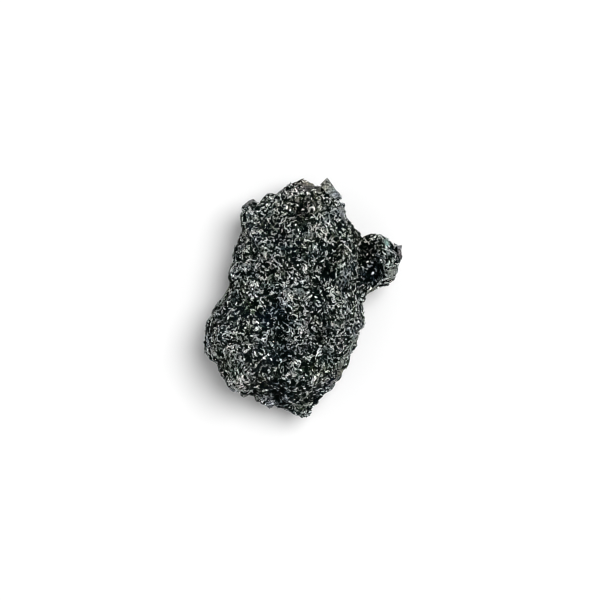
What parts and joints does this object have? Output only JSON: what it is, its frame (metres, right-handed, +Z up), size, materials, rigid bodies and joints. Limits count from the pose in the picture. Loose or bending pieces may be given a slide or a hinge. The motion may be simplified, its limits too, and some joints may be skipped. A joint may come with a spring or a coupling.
{
  "type": "rough seraphinite stone",
  "caption": "Rough lump of dark green-grey scaly mineral with an angular knob on its side, lying on a small flat spot.",
  "frame": {"origin": "middle of the stone's box, on the surface that it lies on", "axes": "+Y along the longest extent, from the pointed end to the blunt end, +X towards the knob, +Z up through the shortest extent"},
  "size_m": [0.0432, 0.0528, 0.022],
  "materials": {
    "stone": "rough broken surface of small shining scales, black-green to silver-green"
  },
  "bodies": {
    "root": {"seraphinite_stone": "stone"}
  },
  "joints": []
}
